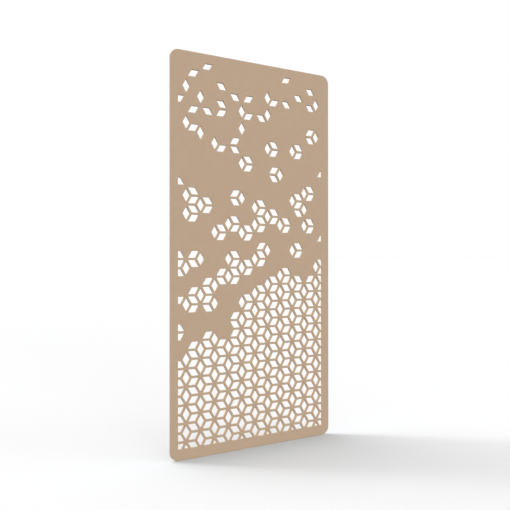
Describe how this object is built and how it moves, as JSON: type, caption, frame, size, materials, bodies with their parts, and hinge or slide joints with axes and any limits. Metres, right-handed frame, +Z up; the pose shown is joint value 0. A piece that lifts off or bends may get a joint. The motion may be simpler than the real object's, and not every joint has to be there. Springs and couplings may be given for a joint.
{
  "type": "hanging acoustic screen",
  "caption": "Tall flat felt screen with rounded corners, cut through with a tumbling-block lattice that thins out towards the top, hung by threaded sleeves sunk in its top edge.",
  "frame": {"origin": "midway between the two hanging points, on the top edge and halfway through the board", "axes": "+Z up, X along the width, the front faces -Y"},
  "size_m": [1.13, 0.012, 2.4],
  "materials": {
    "felt": "pressed polyester felt board, beige, matt",
    "zinc_steel": "turned steel, zinc plated"
  },
  "bodies": {
    "root": {"screen_panel": "felt", "hanging_sleeve_left": "zinc_steel", "hanging_sleeve_right": "zinc_steel"}
  },
  "joints": []
}
